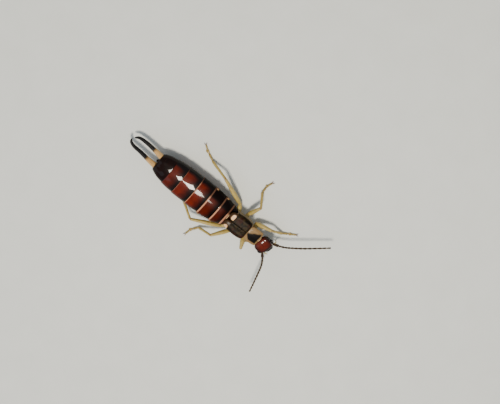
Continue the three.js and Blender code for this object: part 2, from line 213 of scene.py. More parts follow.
def finishShell(material, tree, colour, roughness, bumps, coat=0.0, coatRoughness=0.1, skin=0.0, shine=0.5):
    # bumps are (height, depth in millimetres) pairs
    shell = {"Base Color": colour, "Roughness": roughness, "IOR": 1.54,
             "Coat Weight": coat, "Coat Roughness": coatRoughness, "Specular IOR Level": shine,
             "Subsurface Weight": skin,
             "Subsurface Scale": 0.2 * mm, "Subsurface Radius": (1.0, 0.5, 0.25)}
    for height, depthMm in bumps:
        bump = {"Strength": 1.0, "Distance": depthMm * mm, "Height": height}
        if "Normal" in shell:
            bump["Normal"] = shell["Normal"]
        shell["Normal"] = addNode(tree, "Bump", bump)
    addNode(tree, "OutputMaterial", {"Surface": addNode(tree, "BsdfPrincipled", shell)})
    return material


def dress(piece, material, slotName, *nodes):
    piece.data.materials.clear()
    piece.data.materials.append(material)
    smoothFaces(piece)
    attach(piece, "root")
    if nodes:
        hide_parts(*nodes)


# The abdomen. Its outline follows the solid's: full at the belly's middle and narrowing to each end.
abdomen = {
    "fullAt": 5.6, "halfWidth": 1.74, "rise": 0.95, "drop": 0.88, "middle": 1.32, "tailSink": 0.17,
    "frontLoss": 0.25, "frontReach": 3.9, "frontPower": 2.8,
    "rearLoss": 0.44, "rearReach": 5.03, "rearPower": 3.1,
    "plateEdges": [1.15, 1.86, 2.97, 4.39, 5.91, 7.58, 8.95],
    "redness": [0.0, 0.25, 0.55, 1.0, 0.95, 0.6],
    # how far out on the left each plate's painted side shade begins
    "sideShadeFrom": [0.2, 0.3, 0.42, 0.72, 0.76, 0.7],
    # how strongly each plate shows its pale hind margin, which is partly painted sheen
    "paleRim": [1.0, 0.9, 0.9, 0.45, 0.3, 0.0],
    "polish": [0.6, 0.3, 0.2, 0.6, 1.0, 1.0],
    "waistSink": 0.42, "waistFrom": 1.5, "waistTo": 2.1,
    "tuck": 0.3, "plateWall": 0.045, "skinInset": 0.08, "knobs": [(2.97, 0.12), (4.39, 0.13)],
}


def fullness(y):
    ahead = max(abdomen["fullAt"] - y, 0) / abdomen["frontReach"]
    behind = max(y - abdomen["fullAt"], 0) / abdomen["rearReach"]
    frontLoss = abdomen["frontLoss"] * ahead ** abdomen["frontPower"]
    return 1 - frontLoss - abdomen["rearLoss"] * behind ** abdomen["rearPower"]


def bellyRing(y, inset=0.0):  # (y, half width, half height, middle z) with the belly flatter than the back
    full = fullness(y)
    tail = max(y - abdomen["fullAt"], 0) / abdomen["rearReach"]
    waist = min(max((y - abdomen["waistFrom"]) / (abdomen["waistTo"] - abdomen["waistFrom"]), 0), 1)
    sink = abdomen["waistSink"] * (1 - waist * waist * (3 - 2 * waist))
    rise = abdomen["rise"] * full ** 0.7 - inset - sink
    drop = abdomen["drop"] * full ** 0.7 - inset
    middle = abdomen["middle"] - abdomen["tailSink"] * tail
    return (y, abdomen["halfWidth"] * full - inset, (rise + drop) / 2, middle + (rise - drop) / 2)


def backPlate(front, rear, redness, sideShadeFrom, paleRim, polish):
    # A tergite: tucked under the plate before it, swelling a little, its thin rim lifted over the next one.
    tucked = front - abdomen["tuck"]
    length = rear - front
    steps = [(tucked, 0.1), (front, 0.055), (front + 0.25 * length, 0.02), (front + 0.6 * length, 0.0),
             (rear - 0.16, 0.0), (rear - 0.05, -0.005), (rear, 0.012)]
    rings = [bellyRing(y, inset) for y, inset in steps]
    plate = drawOut("backPlate", rings, 32, keep=lambda place: place.z > -0.42, corner=1.02)
    applyModifier(plate, "SOLIDIFY", thickness=abdomen["plateWall"] * mm, offset=-1)
    subdivide(plate, 2)
    span = (rear - tucked) * mm
    setAttribute(plate, "along", lambda place: (place.y - (bodyZero.y + tucked * mm)) / span)
    halfWidth = abdomen["halfWidth"] * fullness(rear) * mm
    setAttribute(plate, "flank", lambda place: (place.x - bodyZero.x) / halfWidth)
    setAttribute(plate, "redness", lambda place: redness)
    setAttribute(plate, "sideShadeFrom", lambda place: sideShadeFrom)
    setAttribute(plate, "paleRim", lambda place: paleRim)
    setAttribute(plate, "polish", lambda place: polish)
    setAttribute(plate, "rimEdge", lambda place: (bodyZero.y + rear * mm - place.y) / mm)
    return plate


def bellyPlate(front, rear):
    tucked = front - 0.2
    steps = [(tucked, 0.11), (front, 0.07), (front + 0.5 * (rear - front), 0.035), (rear - 0.1, 0.03),
             (rear, 0.045)]
    rings = [bellyRing(y, inset) for y, inset in steps]
    plate = drawOut("bellyPlate", rings, 32, keep=lambda place: place.z < -0.34, corner=1.02)
    applyModifier(plate, "SOLIDIFY", thickness=abdomen["plateWall"] * mm, offset=-1)
    subdivide(plate, 2)
    return plate


def sideKnobs():  # the two pale pairs of gland knobs near the rear edge of the second and third plates
    knobs = []
    for rim, size in abdomen["knobs"]:
        for side in (-1, 1):
            out = abdomen["halfWidth"] * fullness(rim) - 0.075
            rings = [(-1.3 * size, 0.35 * size, 0.4 * size, 0), (-0.6 * size, 0.85 * size, size, 0),
                     (0.5 * size, size, 1.1 * size, 0), (1.15 * size, 0.45 * size, 0.5 * size, 0)]
            knob = drawOut("knob", rings, 12, zero=Vector((0, 0, 0)))
            subdivide(knob, 1)
            knob.location = at(side * out, rim - 0.26, abdomen["middle"] + 0.2)
            makeActive(knob)
            bpy.ops.object.transform_apply()
            knobs.append(knob)
    return joinPieces("abdomen_knobs", knobs)


def makeAbdomen():
    edges = abdomen["plateEdges"]
    plates = []
    rows = [abdomen[name] for name in ("redness", "sideShadeFrom", "paleRim", "polish")]
    for row in zip(edges, edges[1:], *rows):
        plates.append(backPlate(*row))
    back = joinPieces("abdomen_back_plates", plates)
    belly = joinPieces("abdomen_belly_plates", [bellyPlate(a, b) for a, b in zip(edges, edges[1:])])
    steps = [0.9 + 0.55 * k for k in range(16)]
    skin = drawOut("abdomen_skin", [bellyRing(y, abdomen["skinInset"]) for y in steps], 24, corner=1.02)
    subdivide(skin, 1)
    return back, belly, skin


backPlates, bellyPlates, abdomenSkin = makeAbdomen()
print("stage: abdomen plates")


def backShellMaterial():
    # Cuticle of the back: hard polished chitin, red-brown with painted black shade at each plate's front and
    # sides, a pale thin hind margin that is partly painted sheen, and a fine leathery pitting that breaks the
    # highlight up.
    material, tree = newMaterial("polishedBackChitin")
    along, flank, redness, sideShadeFrom = readings(tree, "along", "flank", "redness", "sideShadeFrom")
    paleRim, rimEdge, polish = readings(tree, "paleRim", "rimEdge", "polish")
    blotch = marks(tree, 0.5, 4.0)
    grain = marks(tree, 0.09, 4.0)
    red = addNode(tree, "Mix", {**mixed, 0: blotch, 6: "#440C02", 7: "#741F04"}, 2)
    fleck = addNode(tree, "Math", {**times, 0: grain, 1: 0.4})
    red = addNode(tree, "Mix", {**mixed, 0: fleck, 6: red, 7: "#300802"}, 2)
    # Painted shade: black at the front of each plate, partly its own darker colour and partly shade under the
    # plate before it, and down its sides, further up on the left.
    unevenAlong = addNode(tree, "Math", {**scaledPlus, 0: blotch, 1: 0.16, 2: along})
    frontShade = addNode(tree, "MapRange", {**eased, 0: unevenAlong, 1: 0.3, 2: 0.84})
    unevenFlank = addNode(tree, "Math", {**scaledPlus, 0: blotch, 1: 0.16, 2: flank})
    leftSide = addNode(tree, "Math", {**minus, 0: unevenFlank, 1: sideShadeFrom})
    rightSide = addNode(tree, "Math", {**scaledPlus, 0: flank, 1: -1.0, 2: -0.8})
    side = addNode(tree, "Math", {**largest, 0: leftSide, 1: rightSide})
    sideShade = addNode(tree, "MapRange", {**eased, 0: side, 1: 0.0, 2: 0.22})
    sideLight = addNode(tree, "Math", {**minus, 0: 1.0, 1: sideShade})
    strength = addNode(tree, "Math", {**scaledPlus, 0: redness, 1: 0.75, 2: 0.25})
    lit = addNode(tree, "Math", {**times, 0: frontShade, 1: sideLight})
    lit = addNode(tree, "Math", {**times, 0: lit, 1: strength})
    body = addNode(tree, "Mix", {**mixed, 0: lit, 6: "#080201", 7: red}, 2)
    # The pale hind margin, partly the edge's own paler colour and partly painted sheen, is ragged, and fades
    # where the painted side shade falls.
    rimWidth = addNode(tree, "Math", {**scaledPlus, 0: paleRim, 1: 0.19, 2: 0.03})
    ragged = addNode(tree, "Math", {**scaledPlus, 0: grain, 1: 0.05, 2: rimEdge})
    inside = addNode(tree, "Math", {**minus, 0: rimWidth, 1: ragged})
    rim = addNode(tree, "MapRange", {**eased, 0: inside, 1: 0.0, 2: 0.05})
    rimThere = addNode(tree, "MapRange", {**eased, 0: paleRim, 1: 0.05, 2: 0.5})
    rimFade = addNode(tree, "Math", {**scaledPlus, 0: sideShade, 1: -0.8, 2: 1.0})
    rim = addNode(tree, "Math", {**times, 0: rim, 1: rimThere})
    rim = addNode(tree, "Math", {**times, 0: rim, 1: rimFade})
    colour = addNode(tree, "Mix", {**mixed, 0: rim, 6: body, 7: "#B47E62"}, 2)
    coat = addNode(tree, "Math", {**times, 0: polish, 1: 0.45})
    bumps = [(marks(tree, 0.07), 0.0012), (grain, 0.001)]
    return finishShell(material, tree, colour, 0.36, bumps, coat=coat, coatRoughness=0.06, shine=0.03)


def bellyMaterial():
    # Thinner, browner cuticle of the belly, softly pitted.
    material, tree = newMaterial("softBellyCuticle")
    colour = addNode(tree, "Mix", {**mixed, 0: marks(tree, 0.4, 3.0), 6: "#5A2C16", 7: "#8A4A28"}, 2)
    bumps = [(marks(tree, 0.07), 0.005)]
    return finishShell(material, tree, colour, 0.38, bumps, coat=0.15, coatRoughness=0.2)


def jointSkinMaterial():
    # Soft pale skin between the plates, which lets a little light through.
    material, tree = newMaterial("paleJointSkin")
    colour = addNode(tree, "Mix", {**mixed, 0: marks(tree, 0.25, 3.0), 6: "#A98A66", 7: "#C8AC86"}, 2)
    return finishShell(material, tree, colour, 0.5, [(marks(tree, 0.05, 3.0), 0.01)], skin=0.2)


dress(backPlates, backShellMaterial(), "abdomen_shell", "abdomen")
dress(bellyPlates, bellyMaterial(), "abdomen_shell", "abdomen")


# A smooth line through a few points, given in body millimetres or in metres of its own.
def smoothLine(points, steps=8):
    spots = [points[0]] + list(points) + [points[-1]]
    line = []
    for before, start, end, after in zip(spots, spots[1:], spots[2:], spots[3:]):
        for step in range(steps):
            t = step / steps
            bend = start * 2 + (end - before) * t + (before * 2 - start * 5 + end * 4 - after) * t ** 2
            line.append((bend + (start * 3 - before - end * 3 + after) * t ** 3) / 2)
    return line + [points[-1]]


def lineLength(line):
    return sum((end - start).length for start, end in zip(line, line[1:]))


def bendAlong(piece, line):  # bends a piece that is drawn out along Y from zero to follow a line
    clearSelection()
    guideCurve = bpy.data.curves.new("bendLine", "CURVE")
    guideCurve.dimensions = "3D"
    guideCurve.twist_mode = "Z_UP"
    spline = guideCurve.splines.new("POLY")
    spline.points.add(len(line) - 1)
    for spot, point in zip(spline.points, line):
        spot.co = (*point, 1)
    guide = bpy.data.objects.new("bendLine", guideCurve)
    bpy.context.collection.objects.link(guide)
    applyModifier(piece, "CURVE", object=guide, deform_axis="POS_Y")
    bpy.data.objects.remove(guide)
    bpy.data.curves.remove(guideCurve)


def layBetween(piece, start, end, up=(0, 0, 1)):  # lays a piece drawn out along Y from start towards end
    along = (end - start).normalized()
    side = along.cross(Vector(up)).normalized()
    top = side.cross(along)
    piece.matrix_world = Matrix.Translation(start) @ Matrix((side, along, top)).transposed().to_4x4()
    makeActive(piece)
    bpy.ops.object.transform_apply()


origin = Vector((0, 0, 0))


def stretch(name, lengthMm, profile, sides=12, levels=1, middleZ=0.0):
    # A straight length from zero along Y. profile holds (part of the length, half width, half height).
    rings = [(part * lengthMm, wide, high, middleZ) for part, wide, high in profile]
    piece = drawOut(name, rings, sides, zero=origin)
    if levels:
        subdivide(piece, levels)
    setAttribute(piece, "along", lambda place: place.y / (lengthMm * mm))
    return piece


# Anal segment: the broad dark last plate with a swelling over each forceps root, and the small pygidium.
analPiece = {
    "front": 8.95, "rear": 10.5, "swelling": 0.12, "pygidiumHalf": (0.15, 0.16), "pygidiumOut": 0.16,
}


def makeAnalSegment():
    front, rear = analPiece["front"], analPiece["rear"]
    steps = [(front - 0.3, 0.1), (front, 0.06), (front + 0.3, 0.02), (front + 0.75, 0.0),
             (rear - 0.45, 0.01), (rear - 0.16, 0.04), (rear - 0.03, 0.1), (rear, 0.2)]
    rings = [bellyRing(y, inset) for y, inset in steps]
    last = drawOut("analPlate", rings, 32, corner=1.04)
    makeActive(last)
    bpy.ops.object.mode_set(mode="EDIT")
    for side in (-1, 1):  # a low swelling over each forceps root
        root = at(side * 0.62, rear - 0.2, 1.75)
        selectWhere(last, lambda place: (place - root).length < 0.36 * mm)
        bpy.ops.transform.translate(value=Vector((0, 0.1, 0.5)) * analPiece["swelling"] * mm)
    bpy.ops.object.mode_set(mode="OBJECT")
    subdivide(last, 2)
    wide, high = analPiece["pygidiumHalf"]
    knobRings = [(rear - 0.2, wide * 0.8, high, 1.08), (rear, wide, high, 1.08),
                 (rear + 0.08, wide, high * 0.95, 1.07),
                 (rear + analPiece["pygidiumOut"], wide * 0.6, high * 0.6, 1.06)]
    knob = drawOut("pygidium", knobRings, 12)
    subdivide(knob, 2)
    return joinPieces("anal_plate", [last, knob])


# Forceps of a female: nearly straight, with thick tan roots, fine teeth on the inner root edge, and black
# blades whose tips hook towards each other.
forcepsPiece = {
    "lines": {
        "left": [(0.55, 10.2, 1.14), (0.7, 11.2, 1.12), (0.8, 12.4, 1.04), (0.74, 13.3, 0.98),
                 (0.42, 13.76, 0.98)],
        "right": [(-0.55, 10.2, 1.14), (-0.5, 11.2, 1.12), (-0.37, 12.4, 1.04), (-0.33, 13.22, 0.98),
                  (-0.13, 13.74, 0.98), (0.24, 13.92, 1.0)],
    },
    "profile": [(0.0, 0.3, 0.26), (0.04, 0.36, 0.32), (0.12, 0.35, 0.31), (0.22, 0.27, 0.27),
                (0.34, 0.23, 0.24), (0.55, 0.22, 0.22), (0.75, 0.205, 0.2), (0.88, 0.165, 0.16),
                (0.96, 0.11, 0.11), (1.0, 0.03, 0.035)],
    "teeth": 9, "toothSize": 0.07,
}


def makeForceps(side):
    sign = 1 if side == "left" else -1
    line = smoothLine([at(*point) for point in forcepsPiece["lines"][side]])
    lengthMm = lineLength(line) / mm
    blade = stretch("blade", lengthMm, forcepsPiece["profile"], 16, 0)
    makeActive(blade)
    bpy.ops.object.mode_set(mode="EDIT")
    selectWhere(blade, lambda place: place.x * -sign > 0.1 * mm and place.y > 0.3 * lengthMm * mm)
    bpy.ops.transform.resize(value=(1, 1, 0.7))  # the inner side is a narrower edge
    bpy.ops.object.mode_set(mode="OBJECT")
    subdivide(blade, 2)
    pieces = [blade]
    for count in range(forcepsPiece["teeth"]):
        part = 0.15 + 0.035 * count
        size = forcepsPiece["toothSize"] * (1.15 - 0.07 * count)
        reach = 0.36 if part < 0.14 else 0.35 - 0.17 * min((part - 0.12) / 0.22, 1)
        tooth = drawOut("tooth", [(-1.1 * size, 0.3 * size, 0.5 * size, 0), (-0.4 * size, size, size, 0),
                                  (0.4 * size, size, size, 0),
                                  (1.1 * size, 0.3 * size, 0.5 * size, 0)], 8, zero=origin)
        subdivide(tooth, 1)
        tooth.location = Vector((-sign * (reach - 0.25 * size), part * lengthMm, 0)) * mm
        makeActive(tooth)
        bpy.ops.object.transform_apply()
        pieces.append(tooth)
    arm = joinPieces("forceps_" + side + "_arm", pieces)
    setAttribute(arm, "along", lambda place: place.y / (lengthMm * mm))
    bendAlong(arm, line)
    return arm


# The thorax under the wings, its breast plates, and the soft neck and waist.
thoraxPiece = {
    "body": [(-2.72, 0.3, 0.26, 1.3, -0.1), (-2.5, 0.34, 0.3, 1.28, -0.05), (-2.3, 0.46, 0.42, 1.2),
             (-1.9, 0.56, 0.5, 1.14), (-1.1, 0.62, 0.52, 1.12), (-0.8, 0.78, 0.52, 1.1),
             (-0.2, 0.92, 0.54, 1.1), (0.6, 0.98, 0.56, 1.12), (1.1, 1.0, 0.46, 1.02),
             (1.6, 1.05, 0.46, 1.0)],
    "sides": [(-2.2, -1.75, 0.64), (-1.65, -1.0, 0.7), (-0.72, 0.0, 0.98), (0.08, 0.95, 1.07)],
    "breast": [(-2.1, -1.2, 0.5), (-0.75, 0.1, 0.72), (0.16, 1.12, 0.86)],
}


def makeThorax():
    trunk = drawOut("trunk", thoraxPiece["body"], 24, corner=1.06)
    subdivide(trunk, 1)
    plates = []
    for front, rear, halfWidth in thoraxPiece["breast"]:
        span = rear - front
        rings = [(front, halfWidth * 0.55, 0.5, 1.12), (front + 0.15 * span, halfWidth * 0.8, 0.56, 1.12),
                 (front + 0.5 * span, halfWidth * 0.72, 0.58, 1.12),
                 (front + 0.8 * span, halfWidth * 0.92, 0.57, 1.12), (rear, halfWidth * 0.7, 0.52, 1.12)]
        plate = drawOut("breastPlate", rings, 32, keep=lambda place: place.z < -0.5)
        applyModifier(plate, "SOLIDIFY", thickness=0.05 * mm, offset=-1)
        subdivide(plate, 2)
        plates.append(plate)
    for front, rear, halfWidth in thoraxPiece["sides"]:
        span = rear - front
        rings = [(front, halfWidth * 0.86, 0.42, 1.12), (front + 0.15 * span, halfWidth, 0.52, 1.12),
                 (front + 0.85 * span, halfWidth, 0.52, 1.12), (rear, halfWidth * 0.9, 0.44, 1.12)]
        for side in (-1, 1):
            plate = drawOut("sidePlate", rings, 32,
                            keep=lambda place: place.x * side > 0.6 and -0.6 < place.z < 0.6, corner=1.04)
            applyModifier(plate, "SOLIDIFY", thickness=0.05 * mm, offset=-1)
            subdivide(plate, 2)
            plates.append(plate)
    return trunk, joinPieces("breast_plates", plates)


# Wing cases: two leathery shields with a shoulder keel, meeting in a seam along the middle of the back.
tegmenPiece = {
    "lowerEdge": 1.26, "shoulder": 1.17, "seam": 0.006, "wall": 0.07,
    "rings": [(-0.82, 0.62, 0.5), (-0.93, 0.86, 0.66), (-0.88, 1.0, 0.74), (-0.7, 1.13, 0.79),
              (-0.3, 1.2, 0.81), (0.3, 1.2, 0.82), (0.7, 1.16, 0.81), (0.93, 1.13, 0.79),
              (0.97, 1.12, 0.78)],
}


def makeTegmen(sign):
    rings = [(y, wide, high, tegmenPiece["lowerEdge"]) for y, wide, high in tegmenPiece["rings"]]
    case = drawOut("tegmen", rings, 32, keep=lambda place: place.z > -0.05 and place.x * sign > -0.01,
                   corner=tegmenPiece["shoulder"])
    makeActive(case)
    bpy.ops.object.mode_set(mode="EDIT")
    selectWhere(case, lambda place: abs(place.x - bodyZero.x) < 0.02 * mm)
    bpy.ops.transform.translate(value=(sign * tegmenPiece["seam"] * mm, 0, -0.01 * mm))
    bpy.ops.object.mode_set(mode="OBJECT")
    applyModifier(case, "SOLIDIFY", thickness=tegmenPiece["wall"] * mm, offset=-1)
    subdivide(case, 2)
    setAttribute(case, "acrossMm", lambda place: abs(place.x - bodyZero.x) / mm)
    setAttribute(case, "heightMm", lambda place: place.z / mm)
    return case


# The tips of the folded hind wings: two rounded brown lobes, each with a pale spot.
squamaPiece = {
    "rings": [(0.5, 0.42, 0.12, 1.83, 0.52), (0.9, 0.47, 0.16, 1.84, 0.52), (1.2, 0.46, 0.17, 1.84, 0.52),
              (1.42, 0.38, 0.15, 1.83, 0.5), (1.56, 0.25, 0.1, 1.82, 0.47), (1.63, 0.1, 0.05, 1.81, 0.45)],
    "spots": {"left": (0.42, 1.12, 0.36, 0.22), "right": (-0.86, 1.24, 0.27, 0.22)},
}


def makeSquama(side):
    sign = 1 if side == "left" else -1
    rings = [(y, wide, high, z, sign * x) for y, wide, high, z, x in squamaPiece["rings"]]
    lobe = drawOut("squama_" + side + "_lobe", rings, 20, corner=1.05)
    subdivide(lobe, 2)
    x, y, longHalf, shortHalf = squamaPiece["spots"][side]
    setAttribute(lobe, "spot", lambda place: math.hypot(
        (place.x - at(x, y, 0).x) / (longHalf * mm), (place.y - at(x, y, 0).y) / (shortHalf * mm)))
    return lobe


# Pronotum: a flat shield with rounded corners, a raised black disc and thin turned-up pale sides.
pronotumPiece = {
    "base": 1.62, "wall": 0.06, "flange": 1.07, "tip": -8,
    "rings": [(-2.36, 0.62, 0.16), (-2.42, 0.72, 0.2), (-2.38, 0.79, 0.25), (-2.2, 0.83, 0.27),
              (-1.7, 0.85, 0.27), (-1.25, 0.84, 0.25), (-1.0, 0.76, 0.22), (-0.88, 0.62, 0.18),
              (-0.85, 0.5, 0.14)],
}


def makePronotum():
    rings = [(y, wide, high, pronotumPiece["base"]) for y, wide, high in pronotumPiece["rings"]]
    shield = drawOut("pronotum_shield", rings, 32, keep=lambda place: place.z > 0.15, corner=1.1)
    makeActive(shield)
    bpy.ops.object.mode_set(mode="EDIT")
    bpy.ops.mesh.select_all(action="SELECT")
    bpy.ops.transform.rotate(value=math.radians(pronotumPiece["tip"]), orient_axis="X",
                             center_override=at(0, -0.85, 1.85))
    selectWhere(shield, lambda place: abs(place.x - bodyZero.x) > 0.66 * mm)
    bpy.ops.transform.resize(value=(pronotumPiece["flange"], 1, 1), center_override=at(0, -1.6, 1.62))
    selectWhere(shield, lambda place: abs(place.x - bodyZero.x) > 0.84 * mm)
    bpy.ops.transform.translate(value=(0, 0, 0.04 * mm))
    bpy.ops.object.mode_set(mode="OBJECT")
    applyModifier(shield, "SOLIDIFY", thickness=pronotumPiece["wall"] * mm, offset=-1)
    subdivide(shield, 2)
    setAttribute(shield, "acrossMm", lambda place: (place.x - bodyZero.x) / mm)
    setAttribute(shield, "alongMm", lambda place: (place.y - bodyZero.y) / mm)
    return shield


# The head, made round its own middle facing -Y and then turned, nodded and set in place.
headPiece = {
    "middle": (-0.14, -3.12, 1.36), "turn": -10, "nod": 12, "crownFrom": 0.22, "crownFlat": 0.72,
    "skull": [(-0.72, 0.4, 0.19, -0.08), (-0.66, 0.54, 0.25, -0.06), (-0.5, 0.69, 0.34, -0.04),
              (-0.2, 0.83, 0.43, -0.01), (0.15, 0.94, 0.47, 0.01), (0.4, 0.93, 0.445, 0.0),
              (0.6, 0.78, 0.37, -0.01), (0.7, 0.54, 0.29, -0.02), (0.73, 0.38, 0.24, -0.02)],
    "lip": [(-0.66, 0.34, 0.12, -0.1), (-0.78, 0.33, 0.12, -0.12), (-0.9, 0.27, 0.1, -0.14),
            (-0.97, 0.16, 0.06, -0.15)],
    "jaw": [(0.0, 0.16, 0.13), (0.3, 0.17, 0.12), (0.7, 0.12, 0.09), (0.95, 0.05, 0.05), (1.0, 0.02, 0.02)],
    "jawLine": [(0.42, -0.35, -0.3), (0.42, -0.7, -0.31), (0.26, -0.95, -0.3), (0.05, -1.02, -0.3)],
    "eyeAt": (0.77, -0.16, 0.07), "eyeHalf": (0.22, 0.28, 0.24), "facetInset": 0.004,
}


def placeOnHead(piece):
    makeActive(piece)
    turn = Matrix.Rotation(math.radians(headPiece["turn"]), 4, "Z")
    nod = Matrix.Rotation(math.radians(headPiece["nod"]), 4, "X")
    piece.matrix_world = Matrix.Translation(at(*headPiece["middle"])) @ turn @ nod
    bpy.ops.object.transform_apply()


def makeHead():
    skull = drawOut("skull", headPiece["skull"], 32, zero=origin, corner=1.14)
    makeActive(skull)
    bpy.ops.object.mode_set(mode="EDIT")
    crown = headPiece["crownFrom"] * mm
    selectWhere(skull, lambda place: place.z > crown)  # the crown is flatter than a ball
    bpy.ops.transform.resize(value=(1, 1, headPiece["crownFlat"]), center_override=(0, 0, crown))
    bpy.ops.object.mode_set(mode="OBJECT")
    subdivide(skull, 2)
    lip = drawOut("lip", headPiece["lip"], 16, zero=origin, corner=1.06)
    subdivide(lip, 2)
    pieces = [skull, lip]
    for sign in (-1, 1):
        line = smoothLine([Vector((sign * x, y, z)) * mm for x, y, z in headPiece["jawLine"]])
        jaw = stretch("jaw", lineLength(line) / mm, headPiece["jaw"], 12, 2)
        bendAlong(jaw, line)
        pieces.append(jaw)
        socket = stretch("socket", 0.16, [(0, 0.12, 0.12), (0.3, 0.17, 0.17), (0.8, 0.16, 0.16),
                                          (1, 0.11, 0.11)], 16, 1)
        layBetween(socket, Vector((sign * 0.52, -0.44, 0.02)) * mm, Vector((sign * 0.66, -0.62, 0.07)) * mm)
        pieces.append(socket)
    head = joinPieces("head_capsule", pieces)
    setAttribute(head, "acrossMm", lambda place: place.x / mm)
    setAttribute(head, "alongMm", lambda place: place.y / mm)
    setAttribute(head, "heightMm", lambda place: place.z / mm)
    placeOnHead(head)
    return head


def makeEye(sign):
    # An icosphere whose bevelled corners leave six-sided facets, each one domed by a small inset.
    clearSelection()
    bpy.ops.mesh.primitive_ico_sphere_add(subdivisions=5, radius=1)
    eye = bpy.context.object
    bpy.ops.object.mode_set(mode="EDIT")
    bpy.ops.mesh.select_all(action="SELECT")
    bpy.ops.mesh.bevel(offset_type="PERCENT", offset_pct=33.4, affect="VERTICES")
    bpy.ops.mesh.remove_doubles(threshold=0.004)
    bpy.ops.object.mode_set(mode="OBJECT")
    x, y, z = headPiece["eyeAt"]
    eye.scale = Vector(headPiece["eyeHalf"]) * mm
    eye.location = Vector((sign * x, y, z)) * mm
    bpy.ops.object.transform_apply()
    bpy.ops.object.mode_set(mode="EDIT")
    bpy.ops.mesh.select_all(action="SELECT")
    bpy.ops.mesh.inset(thickness=headPiece["facetInset"] * mm, depth=0.005 * mm, use_individual=True)
    bpy.ops.object.mode_set(mode="OBJECT")
    placeOnHead(eye)
    return eye


# Feelers of 14 segments, each narrow at its root, and the five-segment palps beside the mouth.
antennaPiece = {
    "lines": {
        "left": [(0.46, -3.64, 1.36), (0.72, -4.2, 1.46), (1.14, -4.95, 1.6), (2.3, -6.4, 1.72),
                 (4.02, -8.41, 1.6)],
        "right": [(-0.88, -3.46, 1.36), (-1.32, -3.86, 1.46), (-2.0, -4.27, 1.6), (-3.38, -4.67, 1.75),
                  (-4.98, -5.1, 1.7)],
    },
    "shares": [2.0, 0.5, 1.0, 0.75, 0.8, 0.95, 1.05, 1.15, 1.25, 1.3, 1.3, 1.3, 1.25, 1.2],
    "radii": [0.17, 0.125, 0.125, 0.12, 0.12, 0.12, 0.12, 0.12, 0.12, 0.115, 0.11, 0.108, 0.104, 0.095],
    "segment": [(-0.02, 0.45, 0.45), (0.04, 0.6, 0.6), (0.4, 0.85, 0.85), (0.8, 1.0, 1.0),
                (0.94, 0.93, 0.93), (1.0, 0.5, 0.5)],
}


def pointAlong(line, share):
    wanted = lineLength(line) * share
    for start, end in zip(line, line[1:]):
        step = (end - start).length
        if wanted <= step:
            return start.lerp(end, wanted / step)
        wanted -= step
    return line[-1]


def makeAntenna(side):
    line = smoothLine([at(*point) for point in antennaPiece["lines"][side]], 12)
    total = sum(antennaPiece["shares"])
    pieces = []
    passed = 0
    for share, radius in zip(antennaPiece["shares"], antennaPiece["radii"]):
        start = pointAlong(line, passed / total)
        passed += share
        end = pointAlong(line, passed / total)
        profile = [(part, wide * radius, high * radius) for part, wide, high in antennaPiece["segment"]]
        segment = stretch("segment", (end - start).length / mm, profile, 10, 1)
        layBetween(segment, start, end)
        pieces.append(segment)
    return pieces


palpPiece = {
    "lines": {
        "left": [(0.42, -0.46, -0.42), (0.56, -0.66, -0.46), (0.68, -0.84, -0.48), (0.81, -0.92, -0.5),
                 (0.92, -0.85, -0.56), (0.98, -0.7, -0.66)],
        "right": [(0.46, -0.42, -0.4), (0.62, -0.62, -0.5), (0.74, -0.84, -0.56), (0.8, -1.04, -0.6),
                  (0.8, -1.22, -0.66), (0.76, -1.42, -0.74)],
    },
    "radii": [0.08, 0.085, 0.08, 0.078, 0.06],
    "lipPalp": [(0.2, -0.7, -0.42), (0.28, -0.9, -0.5), (0.26, -1.06, -0.56)],
}


def makePalp(sign, points, radii, name):
    pieces = []
    for start, end, radius in zip(points, points[1:], radii):
        start = Vector((sign * start[0], start[1], start[2])) * mm
        end = Vector((sign * end[0], end[1], end[2])) * mm
        profile = [(part, wide * radius, high * radius) for part, wide, high in antennaPiece["segment"]]
        segment = stretch("palpSegment", (end - start).length / mm, profile, 10, 1)
        layBetween(segment, start, end)
        pieces.append(segment)
    palp = joinPieces(name, pieces)
    placeOnHead(palp)
    return palp


